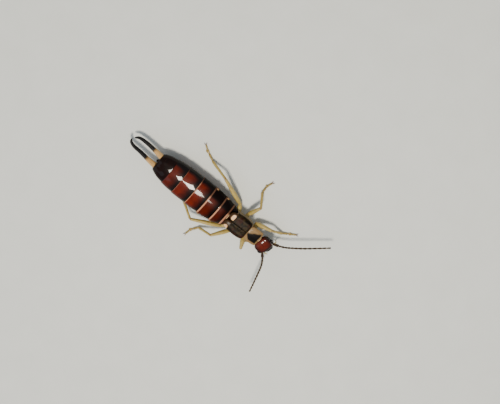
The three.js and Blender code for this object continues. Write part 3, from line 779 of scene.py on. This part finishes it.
# Legs. Each row holds the hip, root of the femur, knee, ankle, end of the second tarsal segment and toe.
legPiece = {
    "stance": {
        "foreleg_left": [(0.42, -1.4, 0.86), (0.98, -1.2, 0.78), (1.52, -2.81, 1.25), (1.58, -3.92, 0.26),
                         (2.03, -4.7, 0.1), (2.35, -5.2, 0.11)],
        "foreleg_right": [(-0.42, -1.4, 0.86), (-0.92, -1.04, 0.84), (-1.97, -1.56, 1.4),
                          (-1.52, -1.5, 0.26), (-1.2, -2.1, 0.1), (-0.98, -2.52, 0.11)],
        "midleg_left": [(0.55, 0.0, 0.84), (1.28, 0.02, 0.78), (2.82, -0.41, 1.5), (3.8, 0.3, 0.26),
                        (4.6, 0.34, 0.1), (5.15, 0.12, 0.11)],
        "midleg_right": [(-0.55, 0.0, 0.84), (-1.26, 0.34, 0.78), (-2.74, 1.66, 1.5), (-3.33, 2.87, 0.26),
                         (-4.2, 3.4, 0.1), (-4.82, 3.5, 0.11)],
        "hindleg_left": [(0.6, 0.85, 0.8), (1.52, 1.3, 0.64), (3.02, 4.26, 1.55), (3.22, 6.17, 0.28),
                         (3.7, 7.25, 0.1), (4.1, 7.72, 0.11)],
        "hindleg_right": [(-0.6, 0.85, 0.8), (-1.56, 1.32, 0.64), (-2.7, 4.3, 1.45), (-1.7, 6.3, 0.28),
                          (-1.42, 7.3, 0.1), (-1.3, 7.93, 0.11)],
    },
    "coxa": [(0.0, 0.22, 0.22), (0.3, 0.297, 0.286), (0.8, 0.242, 0.22), (1.0, 0.154, 0.143)],
    "trochanter": [(-0.5, 0.077, 0.088), (-0.25, 0.165, 0.176), (0.3, 0.187, 0.198), (1.0, 0.11, 0.121)],
    "femur": [(0.0, 0.12, 0.132), (0.04, 0.18, 0.204), (0.16, 0.228, 0.27), (0.35, 0.246, 0.294),
              (0.6, 0.21, 0.252), (0.84, 0.162, 0.192), (0.96, 0.162, 0.186), (1.0, 0.12, 0.132)],
    "tibia": [(-0.02, 0.075, 0.088), (0.02, 0.125, 0.144), (0.08, 0.131, 0.144), (0.16, 0.125, 0.131),
              (0.5, 0.131, 0.138), (0.85, 0.15, 0.156), (0.98, 0.156, 0.163), (1.0, 0.088, 0.094)],
    "firstTarsal": [(0.0, 0.062, 0.062), (0.05, 0.094, 0.088), (0.5, 0.106, 0.094), (0.93, 0.125, 0.106),
                    (1.0, 0.075, 0.062)],
    "secondTarsal": [(0.0, 0.057, 0.052), (0.15, 0.103, 0.075), (0.6, 0.161, 0.069), (0.95, 0.172, 0.046),
                     (1.0, 0.115, 0.023)],
    "thirdTarsal": [(0.0, 0.058, 0.052), (0.2, 0.078, 0.072), (0.8, 0.104, 0.091), (1.0, 0.058, 0.052)],
    "claw": [(0.0, 0.042, 0.042), (0.4, 0.031, 0.034), (0.8, 0.017, 0.019), (1.0, 0.004, 0.004)],
    "clawLine": [(0.04, -0.04, 0.01), (0.08, 0.08, 0.03), (0.12, 0.17, 0.0), (0.13, 0.21, -0.06)],
}


def legLength(kind, start, end, extra=0.0):
    piece = stretch(kind, (end - start).length / mm + extra, legPiece[kind], 12, 1)
    layBetween(piece, start, end)
    return piece


def makeLeg(joints):
    hip, root, knee, ankle, pad, toe = [at(*joint) for joint in joints]
    overlap = 0.04
    pieces = [legLength("coxa", hip, root), legLength("femur", root, knee, overlap),
              legLength("tibia", knee, ankle, overlap)]
    trochanter = stretch("trochanter", 0.3, legPiece["trochanter"], 12, 1)
    layBetween(trochanter, root, knee)
    pieces.append(trochanter)
    firstEnd = ankle.lerp(pad, 0.66)
    firstEnd.z = 0.11 * mm
    pieces.append(legLength("firstTarsal", ankle, firstEnd))
    low = Vector((0, 0, -0.03)) * mm
    pieces.append(legLength("secondTarsal", firstEnd + low, pad + low, 0.06))
    pieces.append(legLength("thirdTarsal", firstEnd.lerp(pad, 0.75), toe))
    for sign in (-1, 1):
        line = smoothLine([Vector((sign * x, y, z)) * mm for x, y, z in legPiece["clawLine"]], 4)
        claw = stretch("claw", lineLength(line) / mm, legPiece["claw"], 8, 1)
        bendAlong(claw, line)
        claw.data.attributes["along"].data.foreach_set("value", [2.0] * len(claw.data.vertices))
        layBetween(claw, toe, toe + (toe - pad))
        pieces.append(claw)
    return pieces


# Fine golden bristles. Each is a closed three-sided spike whose root sits just inside the skin.
bristles = {
    "seed": 41, "thickness": 0.011, "sunk": 0.02, "patch": 0.003,
    "leg": (130, 0.13, 0.55), "feeler": (46, 0.07, 0.7), "tail": (120, 0.12, 0.45), "back": (600, 0.08, 0.3),
    "case": (260, 0.07, 0.35), "head": (150, 0.1, 0.6), "palp": (30, 0.06, 0.8), "claspers": (70, 0.09, 0.5),
}
dice = random.Random(bristles["seed"])


def unwrap(skin):  # the skin's own unwrap, which the bristles' colour patches use too
    makeActive(skin)
    bpy.ops.object.mode_set(mode="EDIT")
    bpy.ops.mesh.select_all(action="SELECT")
    bpy.ops.uv.smart_project(angle_limit=math.radians(66), island_margin=0.004)
    bpy.ops.object.mode_set(mode="OBJECT")


def growBristles(name, skin, kind, lie, keep=None):
    # lie gives the way that the bristles lean at a place; keep says where they grow.
    count, lengthMm, lift = bristles[kind]
    unwrap(skin)
    mesh = skin.data
    layout = mesh.uv_layers.active.data
    faces = [face for face in mesh.polygons if keep is None or keep(face.center, face.normal)]
    chosen = dice.choices(faces, weights=[face.area for face in faces], k=count)
    points, sides, patches = [], [], []
    for face in chosen:
        shares = [dice.random() + 0.05 for _ in face.vertices]
        total = sum(shares)
        root = sum((mesh.vertices[i].co * s for i, s in zip(face.vertices, shares)), Vector()) / total
        place = sum((layout[i].uv * s for i, s in zip(face.loop_indices, shares)), Vector((0, 0))) / total
        normal = face.normal
        lean = Vector(lie(root))
        lean = (lean - normal * lean.dot(normal)).normalized()
        sway = normal.cross(lean) * dice.uniform(-0.3, 0.3)
        way = (lean + normal * lift * dice.uniform(0.6, 1.4) + sway).normalized()
        length = lengthMm * mm * dice.uniform(0.6, 1.2)
        across = way.cross(normal).normalized() * bristles["thickness"] * mm / 2
        upright = way.cross(across)
        start = root - normal * bristles["sunk"] * mm
        middle = root + way * length * 0.5
        first = len(points)
        for centre, width in ((start, 1.0), (middle, 0.7)):
            points += [centre + across * width, centre - across * width, centre + upright * width]
        points.append(middle + (way + lean * 0.35).normalized() * length * 0.55)
        a, b, c, d, e, f, tip = range(first, first + 7)
        sides += [(c, b, a), (a, b, e, d), (b, c, f, e), (c, a, d, f), (d, e, tip), (e, f, tip), (f, d, tip)]
        patches += [place] * 7
    coat = bpy.data.meshes.new(name)
    coat.from_pydata(points, [], sides)
    colours = coat.uv_layers.new(name="OFBake")
    half = bristles["patch"] / 2
    corners = ((-half, -half), (half, -half), (half, half), (-half, half))
    for face, place in zip(coat.polygons, patches):
        for corner, loop in zip(corners, face.loop_indices):
            colours.data[loop].uv = (place[0] + corner[0], place[1] + corner[1])
    piece = bpy.data.objects.new(name, coat)
    bpy.context.collection.objects.link(piece)
    faceOutwards(piece)
    return piece


def knobMaterial():  # dull tan swellings over the side glands
    material, tree = newMaterial("dullKnobCuticle")
    colour = addNode(tree, "Mix", {**mixed, 0: marks(tree, 0.1, 3.0), 6: "#6A4C30", 7: "#96744E"}, 2)
    return finishShell(material, tree, colour, 0.45, [(marks(tree, 0.05, 3.0), 0.004)], shine=0.3)


def analMaterial():
    # Same polished cuticle as the back, nearly black.
    material, tree = newMaterial("polishedTailChitin")
    colour = addNode(tree, "Mix", {**mixed, 0: marks(tree, 0.5, 4.0), 6: "#060201", 7: "#1A0502"}, 2)
    bumps = [(marks(tree, 0.08), 0.0014)]
    return finishShell(material, tree, colour, 0.36, bumps, coat=0.3, coatRoughness=0.06, shine=0.02)


def forcepsMaterial():
    # Thick, hard chitin: amber and pale at the root, black along the blades.
    material, tree = newMaterial("hardForcepsChitin")
    along, = readings(tree, "along")
    blotch = marks(tree, 0.35, 3.0)
    edge = addNode(tree, "Math", {**scaledPlus, 0: blotch, 1: 0.08, 2: along})
    blade = addNode(tree, "MapRange", {**eased, 0: edge, 1: 0.3, 2: 0.42})
    root = addNode(tree, "Mix", {**mixed, 0: blotch, 6: "#AD8048", 7: "#CBA66C"}, 2)
    colour = addNode(tree, "Mix", {**mixed, 0: blade, 6: root, 7: "#090403"}, 2)
    bumps = [(marks(tree, 0.08, 2.0), 0.003)]
    return finishShell(material, tree, colour, 0.3, bumps, coat=0.5, coatRoughness=0.06, shine=0.1)


def thoraxMaterial():
    # Satin brown plates of the breast and sides.
    material, tree = newMaterial("satinBreastCuticle")
    colour = addNode(tree, "Mix", {**mixed, 0: marks(tree, 0.3, 3.0), 6: "#5E3A1E", 7: "#8E6536"}, 2)
    bumps = [(marks(tree, 0.06, 3.0), 0.008)]
    return finishShell(material, tree, colour, 0.42, bumps, coat=0.1, coatRoughness=0.25)


def tegmenMaterial():
    # Leathery wing case: mottled olive-brown, finely pitted and wrinkled, paler and greyer down the flank,
    # partly its own grey edge and partly painted sheen.
    material, tree = newMaterial("leatheryWingCase")
    across, height = readings(tree, "acrossMm", "heightMm")
    mottle = marks(tree, 0.28, 5.0)
    olive = addNode(tree, "MapRange", {**eased, 0: mottle, 1: 0.38, 2: 0.66})
    base = addNode(tree, "Mix", {**mixed, 0: olive, 6: "#070401", 7: "#2C210C"}, 2)
    rusty = addNode(tree, "MapRange", {**eased, 0: marks(tree, 0.7, 2.0), 1: 0.5, 2: 0.7})
    base = addNode(tree, "Mix", {**mixed, 0: rusty, 6: base, 7: "#2A0E04"}, 2)
    # Painted sheen, partly the flank's own grey: paler and greyer low down the flank.
    unevenHeight = addNode(tree, "Math", {**scaledPlus, 0: mottle, 1: 0.3, 2: height})
    flank = addNode(tree, "MapRange", {**eased, 0: unevenHeight, 1: 1.98, 2: 1.6})
    colour = addNode(tree, "Mix", {**mixed, 0: flank, 6: base, 7: "#86765C"}, 2)
    seam = addNode(tree, "MapRange", {**eased, 0: across, 1: 0.09, 2: 0.01})
    seam = addNode(tree, "Math", {**times, 0: seam, 1: 0.35})
    colour = addNode(tree, "Mix", {**mixed, 0: seam, 6: colour, 7: "#1A0D04"}, 2)
    bumps = [(marks(tree, 0.06), 0.006), (marks(tree, 0.12, 4.0), 0.016)]
    return finishShell(material, tree, colour, 0.46, bumps, shine=0.08)


def squamaMaterial():
    # Stiff wing membrane: brown with a pale, slightly see-through spot.
    material, tree = newMaterial("palespotWingTip")
    spot, = readings(tree, "spot")
    blotch = marks(tree, 0.15, 3.0)
    edge = addNode(tree, "Math", {**scaledPlus, 0: blotch, 1: 0.2, 2: spot})
    edge = addNode(tree, "MapRange", {**eased, 0: edge, 1: 1.2, 2: 0.95})
    brown = addNode(tree, "Mix", {**mixed, 0: blotch, 6: "#1E1106", 7: "#40290F"}, 2)
    colour = addNode(tree, "Mix", {**mixed, 0: edge, 6: brown, 7: "#E6B987"}, 2)
    bumps = [(marks(tree, 0.07, 3.0), 0.008)]
    return finishShell(material, tree, colour, 0.38, bumps, coat=0.08, coatRoughness=0.25, skin=0.1,
                       shine=0.1)


def pronotumMaterial():
    # Polished black disc between thin, pale, slightly see-through side flanges.
    material, tree = newMaterial("polishedShieldChitin")
    across, along = readings(tree, "acrossMm", "alongMm")
    waver = addNode(tree, "Math", {**scaledPlus, 0: marks(tree, 0.5, 4.0), 1: 0.22, 2: -0.11})
    across = addNode(tree, "Math", {**plus, 0: across, 1: waver})
    along = addNode(tree, "Math", {**plus, 0: along, 1: waver})
    # The disc is widest at the front: forward is 1 at the front edge and 0 at the rear.
    forward = addNode(tree, "MapRange", {0: along, 1: -1.05, 2: -2.2})
    leftEdge = addNode(tree, "Math", {**scaledPlus, 0: forward, 1: 0.66, 2: 0.04})
    rightEdge = addNode(tree, "Math", {**scaledPlus, 0: forward, 1: -1.25, 2: -0.2})
    rightEdge = addNode(tree, "Math", {**largest, 0: rightEdge, 1: -0.6})
    fromLeft = addNode(tree, "Math", {**minus, 0: leftEdge, 1: across})
    fromRight = addNode(tree, "Math", {**minus, 0: across, 1: rightEdge})
    disc = 1.0
    edges = [(fromLeft, -0.1, 0.1), (fromRight, -0.1, 0.1), (along, -2.29, -2.18), (along, -0.94, -1.06)]
    for reach, low, high in edges:
        inside = addNode(tree, "MapRange", {**eased, 0: reach, 1: low, 2: high})
        disc = addNode(tree, "Math", {**times, 0: disc, 1: inside})
    pale = addNode(tree, "Mix", {**mixed, 0: marks(tree, 0.2, 3.0), 6: "#6C5436", 7: "#937853"}, 2)
    colour = addNode(tree, "Mix", {**mixed, 0: disc, 6: pale, 7: "#050201"}, 2)
    bumps = [(marks(tree, 0.1, 3.0), 0.004)]
    return finishShell(material, tree, colour, 0.4, bumps, coat=0.1, coatRoughness=0.12, skin=0.06,
                       shine=0.05)


def headMaterial():
    # Polished red-brown head with painted shade towards the mouth, underneath and at the sides, and the fine
    # Y-shaped seam on its crown.
    material, tree = newMaterial("polishedHeadChitin")
    across, along, height = readings(tree, "acrossMm", "alongMm", "heightMm")
    across = addNode(tree, "Math", {"operation": "ABSOLUTE", 0: across})
    blotch = marks(tree, 0.3, 3.0)
    red = addNode(tree, "Mix", {**mixed, 0: blotch, 6: "#380A02", 7: "#641A04"}, 2)
    unevenAlong = addNode(tree, "Math", {**scaledPlus, 0: blotch, 1: 0.15, 2: along})
    # Painted shade: darker to the front, below the middle and out at the sides.
    shade = 0.0
    for reach, low, high in ((unevenAlong, -0.1, -0.5), (height, 0.0, -0.25), (across, 0.35, 0.9)):
        darker = addNode(tree, "MapRange", {**eased, 0: reach, 1: low, 2: high})
        shade = addNode(tree, "Math", {**largest, 0: shade, 1: darker})
    colour = addNode(tree, "Mix", {**mixed, 0: shade, 6: red, 7: "#0E0302"}, 2)
    # The seam's stem runs along the middle, and its arms part towards the eyes.
    stem = addNode(tree, "MapRange", {**eased, 0: across, 1: 0.022, 2: 0.008})
    stemEnd = addNode(tree, "MapRange", {**eased, 0: along, 1: 0.08, 2: 0.12})
    stem = addNode(tree, "Math", {**times, 0: stem, 1: stemEnd})
    armLine = addNode(tree, "Math", {**scaledPlus, 0: across, 1: 0.8, 2: -0.1})
    armLine = addNode(tree, "Math", {**plus, 0: along, 1: armLine})
    armLine = addNode(tree, "Math", {"operation": "ABSOLUTE", 0: armLine})
    arms = addNode(tree, "MapRange", {**eased, 0: armLine, 1: 0.024, 2: 0.008})
    armEnd = addNode(tree, "MapRange", {**eased, 0: along, 1: 0.12, 2: 0.08})
    arms = addNode(tree, "Math", {**times, 0: arms, 1: armEnd})
    seam = addNode(tree, "Math", {**largest, 0: stem, 1: arms})
    crown = addNode(tree, "MapRange", {**eased, 0: height, 1: 0.1, 2: 0.2})
    seam = addNode(tree, "Math", {**times, 0: seam, 1: crown})
    colour = addNode(tree, "Mix", {**mixed, 0: seam, 6: colour, 7: "#1E0803"}, 2)
    groove = addNode(tree, "Math", {**minus, 0: 1.0, 1: seam})
    bumps = [(groove, 0.01), (marks(tree, 0.09, 3.0), 0.002)]
    return finishShell(material, tree, colour, 0.34, bumps, coat=0.45, coatRoughness=0.08, shine=0.05)


def eyeMaterial():
    # Glossy near-black eye: its facets are real faces, so the skin itself is smooth.
    material, tree = newMaterial("facetedEyeCuticle")
    colour = addNode(tree, "Mix", {**mixed, 0: marks(tree, 0.2, 2.0), 6: "#0A0504", 7: "#1C0E08"}, 2)
    return finishShell(material, tree, colour, 0.18, [], coat=0.5, coatRoughness=0.08)


def antennaMaterial():
    # Dark matt feeler: each segment is pale for a moment at its root.
    material, tree = newMaterial("mattFeelerCuticle")
    along, = readings(tree, "along")
    dark = addNode(tree, "Mix", {**mixed, 0: marks(tree, 0.12, 3.0), 6: "#180F07", 7: "#362411"}, 2)
    root = addNode(tree, "MapRange", {**eased, 0: along, 1: 0.14, 2: 0.02})
    colour = addNode(tree, "Mix", {**mixed, 0: root, 6: dark, 7: "#5E482A"}, 2)
    return finishShell(material, tree, colour, 0.5, [(marks(tree, 0.03, 3.0), 0.006)], shine=0.15)


def legMaterial():
    # Straw-yellow leg skin that lets a little light through, browner at the joints, with amber claws.
    material, tree = newMaterial("strawLegCuticle")
    along, = readings(tree, "along")
    straw = addNode(tree, "Mix", {**mixed, 0: marks(tree, 0.35, 4.0), 6: "#867234", 7: "#C2AA5E"}, 2)
    root = addNode(tree, "MapRange", {**eased, 0: along, 1: 0.1, 2: 0.0})
    tip = addNode(tree, "MapRange", {**eased, 0: along, 1: 0.9, 2: 1.0})
    joint = addNode(tree, "Math", {**largest, 0: root, 1: tip})
    joint = addNode(tree, "Math", {**times, 0: joint, 1: 0.6})
    colour = addNode(tree, "Mix", {**mixed, 0: joint, 6: straw, 7: "#6E4A1E"}, 2)
    claw = addNode(tree, "MapRange", {**eased, 0: along, 1: 1.4, 2: 1.6})
    colour = addNode(tree, "Mix", {**mixed, 0: claw, 6: colour, 7: "#5A2E12"}, 2)
    bumps = [(marks(tree, 0.05, 3.0), 0.006)]
    return finishShell(material, tree, colour, 0.36, bumps, coat=0.15, coatRoughness=0.2, skin=0.15)


def bristleMaterial(name, dark, light):
    # Fine hair, a little glossy: golden on the pale skin and dark brown on the black back.
    material, tree = newMaterial(name)
    colour = addNode(tree, "Mix", {**mixed, 0: marks(tree, 0.4, 2.0), 6: dark, 7: light}, 2)
    return finishShell(material, tree, colour, 0.4, [], shine=0.2)


def backwards(place):
    return (0, 1, 0)


def towardsToe(toe):  # hairs lean down the leg, and lie level where it comes close to the floor
    return lambda place: toe - place + Vector((0, 0, -2 if place.z > 0.6 * mm else 0.3)) * mm


def clearOfFloor(place, normal):
    return place.z > 0.38 * mm or normal.z > 0.5


bristleHair = bristleMaterial("goldenBristle", "#8A6A38", "#C2A468")
darkHair = bristleMaterial("darkBristle", "#1E1008", "#4A3018")
jointSkin = jointSkinMaterial()
dress(abdomenSkin, jointSkin, "abdomen_shell", "abdomen")
legCuticle = legMaterial()
analPlate = makeAnalSegment()
dress(analPlate, analMaterial(), "anal_shell", "anal_segment")
rearEnd = at(0, 9.6, 0).y
dress(growBristles("tail_bristles", analPlate, "tail", backwards, lambda place, normal: place.y > rearEnd),
      darkHair, "anal_shell")
dress(growBristles("back_bristles", backPlates, "back", backwards, lambda place, normal: normal.z < 0.6 and
      (place - bodyZero).x * normal.x > 0), darkHair, "abdomen_shell")
forcepsChitin = forcepsMaterial()
for side in ("left", "right"):
    arm = makeForceps(side)
    dress(arm, forcepsChitin, "forceps", "forceps_" + side)
    dress(growBristles("forceps_" + side + "_bristles", arm, "claspers", backwards,
                       lambda place, normal: place.y < at(0, 12.2, 0).y), bristleHair, "forceps")
print("stage: tail and forceps")

dress(sideKnobs(), knobMaterial(), "abdomen_shell")

trunk, breastPlates = makeThorax()
dress(trunk, jointSkin, "thorax", "thorax", "pronotum")
dress(breastPlates, thoraxMaterial(), "thorax", "thorax")
wingCase = tegmenMaterial()
wingTip = squamaMaterial()
for side, sign in (("left", 1), ("right", -1)):
    case = makeTegmen(sign)
    case.name = "tegmen_" + side + "_case"
    dress(case, wingCase, "wing_case", "tegmen_" + side)
    dress(growBristles("tegmen_" + side + "_bristles", case, "case", backwards,
                       lambda place, normal: normal.z > -0.1 and place.z > 1.3 * mm), darkHair, "wing_case")
    dress(makeSquama(side), wingTip, "wing_tip", "squama_" + side)
dress(makePronotum(), pronotumMaterial(), "pronotum", "pronotum")
print("stage: thorax, wings and shield")

headCapsule = makeHead()
dress(headCapsule, headMaterial(), "head_shell", "head")
dress(growBristles("head_bristles", headCapsule, "head", lambda place: (0, -1, -0.3),
                   lambda place, normal: place.y < at(0, -3.2, 0).y), darkHair, "head_shell")
eyeCuticle = eyeMaterial()
for side, sign in (("left", 1), ("right", -1)):
    eye = makeEye(sign)
    eye.name = "eye_" + side + "_facets"
    dress(eye, eyeCuticle, "eye", "eye_" + side)
    bpy.ops.object.shade_flat()
print("stage: head and eyes")

feelerCuticle = antennaMaterial()
for side, sign in (("left", 1), ("right", -1)):
    segments = makeAntenna(side)
    tip = segments[-1].data.vertices[0].co
    fuzz = [growBristles("fuzz", segment, "feeler", lambda place: tip - place + Vector((0, -1, 0)) * mm)
            for segment in segments]
    dress(joinPieces("antenna_" + side + "_bristles", fuzz), bristleHair, "antenna")
    feeler = joinPieces("antenna_" + side + "_feeler", segments)
    dress(feeler, feelerCuticle, "antenna", "antenna_" + side)
    palp = makePalp(sign, palpPiece["lines"][side], palpPiece["radii"], "palp_" + side + "_long")
    dress(palp, legCuticle, "palp", "palp_" + side)
    lipPalp = makePalp(sign, palpPiece["lipPalp"], (0.05, 0.045), "lip_palp_" + side)
    dress(lipPalp, legCuticle, "palp")
print("stage: feelers and palps")

for name, joints in legPiece["stance"].items():
    lengths = makeLeg(joints)
    toe = at(*joints[-1])
    fuzz = [growBristles("fuzz", length, "leg", towardsToe(toe), clearOfFloor)
            for length in lengths[1:3] + lengths[4:7]]
    dress(joinPieces(name + "_bristles", fuzz), bristleHair, "leg")
    dress(joinPieces(name + "_limb", lengths), legCuticle, "leg", name)
print("stage: legs")


# The camera stands above the animal, from its left and slightly behind, as in the picture.
cameraView = {
    "leanLeft": 0.3374, "leanBack": 0.1635, "headingDown": 37.5, "distance": 200.0, "lens": 144.0,
    "aim": (0.079, 0.0, 1.3), "aimPixel": (241.0, 224.5), "pixelsPerMm": 10.0, "image": (500, 404),
}


def makeCamera():
    towards = Vector((cameraView["leanLeft"], cameraView["leanBack"], 0))
    towards.z = math.sqrt(1 - towards.length_squared)
    forward = Vector((0, -1, 0))
    ahead = (forward - towards * forward.dot(towards)).normalized()
    across = towards.cross(ahead)
    turn = math.radians(cameraView["headingDown"])
    right = ahead * math.cos(turn) + across * math.sin(turn)
    up = across * math.cos(turn) - ahead * math.sin(turn)
    px, py = cameraView["aimPixel"]
    width, height = cameraView["image"]
    shiftRight = (width / 2 - px) / cameraView["pixelsPerMm"] * mm
    shiftUp = (py - height / 2) / cameraView["pixelsPerMm"] * mm
    centre = at(*cameraView["aim"]) + right * shiftRight + up * shiftUp
    bpy.ops.object.camera_add()
    camera = bpy.context.object
    camera.name = "photoCamera"
    camera.data.lens = cameraView["lens"]
    camera.data.clip_start = 0.001
    camera.matrix_world = Matrix((right, up, towards)).transposed().to_4x4()
    camera.location = centre + towards * cameraView["distance"] * mm
    bpy.context.scene.camera = camera


def makeLight(name, place, size, watts, tint):
    target = at(0, 4, 1)
    bpy.ops.object.light_add(type="AREA", location=target + Vector(place) * mm)
    lamp = bpy.context.object
    lamp.name = name
    lamp.data.size = size * mm
    lamp.data.energy = watts
    lamp.data.color = linear(tint)[:3]
    lamp.rotation_euler = (-Vector(place)).to_track_quat("-Z", "Y").to_euler()


def makeStudio():
    clearSelection()
    bpy.ops.mesh.primitive_plane_add(size=3, location=(0, 0, 0))
    floor = bpy.context.object
    floor.name = "floor"
    material, tree = newMaterial("paleBoard")
    colour = addNode(tree, "Mix", {**mixed, 0: marks(tree, 3.0, 4.0), 6: "#C9CCC8", 7: "#D3D6D2"}, 2)
    finishShell(material, tree, colour, 0.6, [(marks(tree, 0.6, 4.0), 0.02)])
    floor.data.materials.append(material)
    world = bpy.data.worlds.new("softRoom")
    bpy.context.scene.world = world
    world.use_nodes = True
    world.node_tree.nodes["Background"].inputs["Color"].default_value = linear("#DDE2E6")
    world.node_tree.nodes["Background"].inputs["Strength"].default_value = 0.6
    makeLight("keyLight", (-22, -21, 150), 30, 0.3, "#FFF6E6")
    makeLight("softFill", (-150, 110, 130), 200, 0.12, "#EAF2FF")


makeCamera()
makeStudio()
print("stage: camera, floor and lights")
